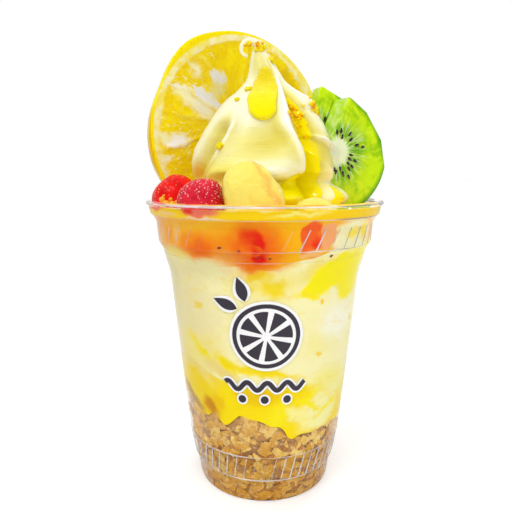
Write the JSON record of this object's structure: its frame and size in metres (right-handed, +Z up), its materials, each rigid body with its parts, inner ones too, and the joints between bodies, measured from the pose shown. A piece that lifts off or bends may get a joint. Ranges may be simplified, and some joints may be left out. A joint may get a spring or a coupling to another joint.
{
  "type": "lemon parfait",
  "caption": "Lemon parfait in a clear plastic cup: cereal, lemon sauce, cream and fruit sauce under a soft-serve swirl, with orange, kiwi, strawberry and peach on top.",
  "frame": {"origin": "centre of the cup's foot, on the table", "axes": "+Z up, -Y towards the front, +X to the right seen from the front"},
  "size_m": [0.1026, 0.0978, 0.1942],
  "materials": {
    "clear_plastic": "clear thin plastic, glossy, with moulded ribs and a small dark print",
    "cereal": "food: crushed toasted cereal flakes",
    "lemon_sauce": "food: glossy yellow lemon sauce",
    "cream": "food: pale cream with yellow marbling",
    "fruit_sauce": "food: translucent orange fruit sauce with red fruit in it",
    "soft_serve": "food: smooth pale soft-serve with yellow sauce and crumbs of zest",
    "orange": "food: wet orange flesh, pale pith and yellow-orange rind",
    "kiwi": "food: wet green kiwi flesh with a pale core and dark seeds",
    "strawberry": "food: red strawberry with pale seeds",
    "peach": "food: wet pale yellow peach with red-orange streaks"
  },
  "bodies": {
    "root": {"cup": "clear_plastic", "cereal": "cereal", "lemon_sauce": "lemon_sauce", "cream": "cream", "fruit_sauce": "fruit_sauce", "soft_serve": "soft_serve", "orange_slice": "orange", "kiwi_slice_front": "kiwi", "kiwi_slice_back": "kiwi", "strawberry_left": "strawberry", "strawberry_right": "strawberry", "peach_chunk": "peach", "peach_chunk_small": "peach"}
  },
  "joints": []
}
